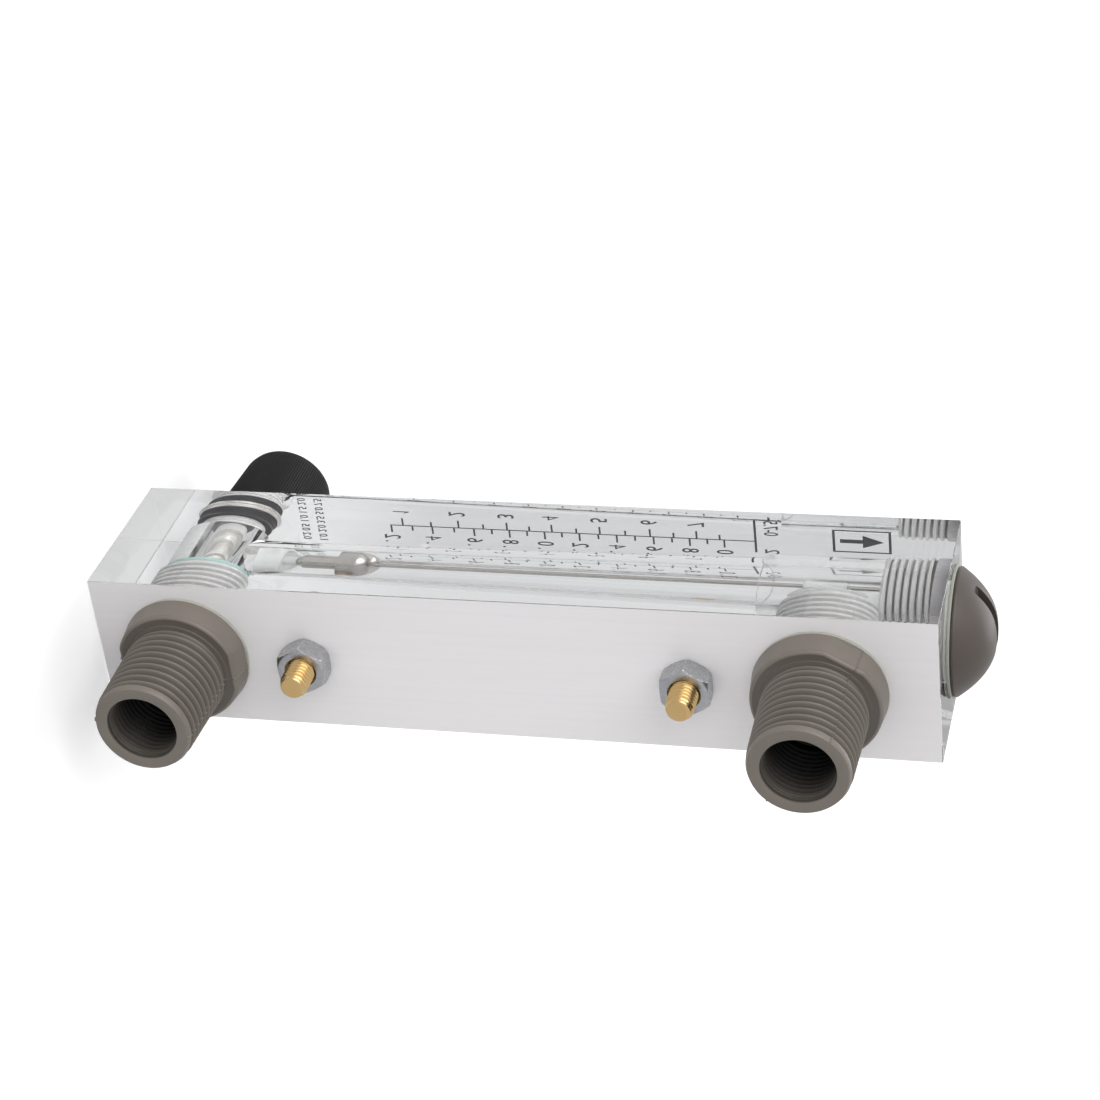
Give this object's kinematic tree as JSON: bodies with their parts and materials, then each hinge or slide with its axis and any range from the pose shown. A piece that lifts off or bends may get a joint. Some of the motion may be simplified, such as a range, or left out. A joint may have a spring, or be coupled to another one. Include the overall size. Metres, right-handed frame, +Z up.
{
  "type": "rotameter",
  "caption": "Clear acrylic panel rotameter with a steel float on a guide rod, a knob valve at its inlet, threaded rear ports and mounting studs.",
  "frame": {"origin": "middle of the acrylic block's base face", "axes": "+Z up along the measuring tube and the flow, +Y out of the back through the ports, +X to the block's side"},
  "size_m": [0.034, 0.0948, 0.1891],
  "materials": {
    "clear_acrylic": "polished clear acrylic with a ground back face",
    "grey_abs": "moulded taupe grey plastic",
    "grey_abs_dark": "moulded grey plastic, a little darker",
    "clear_gasket": "clear silicone",
    "teal_seat": "teal plastic ring",
    "translucent_plastic": "milky moulded plastic",
    "stainless_steel": "turned stainless steel",
    "polished_steel": "polished turned metal",
    "black_rubber": "black rubber",
    "black_plastic": "black moulded plastic with a fine knurl",
    "brass": "machined brass",
    "zinc_steel": "zinc plated steel"
  },
  "bodies": {
    "root": {"acrylic_body": "clear_acrylic", "inlet_fitting": "grey_abs", "outlet_fitting": "grey_abs", "inlet_gasket": "clear_gasket", "outlet_gasket": "clear_gasket", "plug_gasket": "clear_gasket", "valve_seat": "teal_seat", "top_plug": "grey_abs_dark", "guide_rod": "stainless_steel", "lower_rod_holder": "translucent_plastic", "upper_float_stop": "translucent_plastic", "valve_gland": "polished_steel", "gland_oring": "black_rubber", "spindle_seal": "black_rubber", "stud_lower": "brass", "stud_upper": "brass", "nut_lower": "zinc_steel", "nut_upper": "zinc_steel"},
    "float": {"float": "stainless_steel"},
    "tip_seal": {"tip_oring": "black_rubber"},
    "spindle": {"valve_stem": "stainless_steel", "knob": "black_plastic", "knob_screw": "zinc_steel", "knob_cap": "black_plastic"}
  },
  "joints": [
    {"name": "float_slide", "type": "slide", "parent": "root", "child": "float", "axis": [0, 0, 1], "range_m": [0, 0.0922]},
    {"name": "spindle_slide", "type": "slide", "parent": "root", "child": "tip_seal", "axis": [0, -1, 0], "range_m": [0, 0.0045]},
    {"name": "knob_turn", "type": "hinge", "parent": "tip_seal", "child": "spindle", "pos_m": [0, -0.037, 0.02], "axis": [0, -1, 0], "range_deg": [0, 2160]}
  ],
  "couplings": [
    {"joint": "knob_turn", "follows": "spindle_slide", "rad_per_m": 8377.6}
  ]
}
